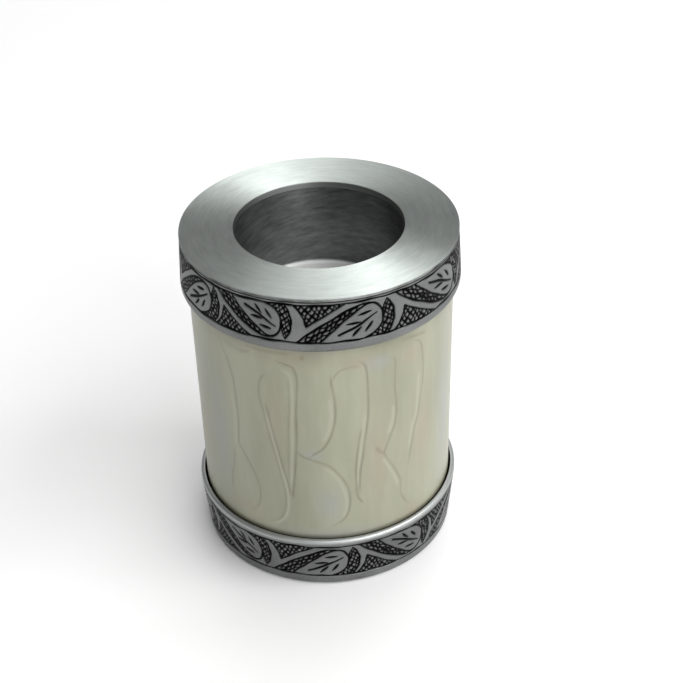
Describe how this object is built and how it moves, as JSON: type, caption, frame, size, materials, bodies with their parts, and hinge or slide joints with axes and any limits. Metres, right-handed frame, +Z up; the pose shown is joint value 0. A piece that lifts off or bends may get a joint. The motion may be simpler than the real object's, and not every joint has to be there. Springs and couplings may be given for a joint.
{
  "type": "tealight candle holder",
  "caption": "Round free-standing tealight holder with a pearl enamel body, engraved metal bands, and a screw-down rim over a lift-out cup.",
  "frame": {"origin": "centre of the felt pad's underside, on the surface that the holder stands on", "axes": "+Z up along the holder's axis of symmetry; -Y is the side towards the viewer, +X to the right"},
  "size_m": [0.0712, 0.0712, 0.0908],
  "materials": {
    "pewter_finish": "satin pewter-grey plating on brass, with dark-filled hand engraving on the bands and fine circular turning marks on the top face",
    "bare_brass": "plain turned brass",
    "pearl_enamel": "glossy pearl cream enamel with thin soft grey-brown looping lines",
    "black_rubber": "soft black silicone",
    "felt": "short dark felt"
  },
  "bodies": {
    "holder": {"felt_pad": "felt", "base_plate": "bare_brass", "base_ring": "pewter_finish", "body_tube": "bare_brass", "enamel_sleeve": "pearl_enamel", "top_collar": "pewter_finish", "neck_ring": "bare_brass"},
    "cup": {"tealight_cup": "pewter_finish"},
    "seal": {"seal_ring": "black_rubber"},
    "rim": {"rim_plate": "pewter_finish"}
  },
  "joints": [
    {"name": "cup_lift", "type": "slide", "parent": "holder", "child": "cup", "axis": [0, 0, 1], "range_m": [0, 0.04]},
    {"name": "rim_rise", "type": "slide", "parent": "cup", "child": "seal", "axis": [0, 0, 1], "range_m": [0, 0.0056]},
    {"name": "rim_turn", "type": "hinge", "parent": "seal", "child": "rim", "pos_m": [0, 0, 0.0899], "axis": [0, 0, 1], "range_deg": [0, 990]}
  ],
  "couplings": [
    {"joint": "rim_rise", "follows": "rim_turn", "m_per_rad": 0.00031831}
  ]
}
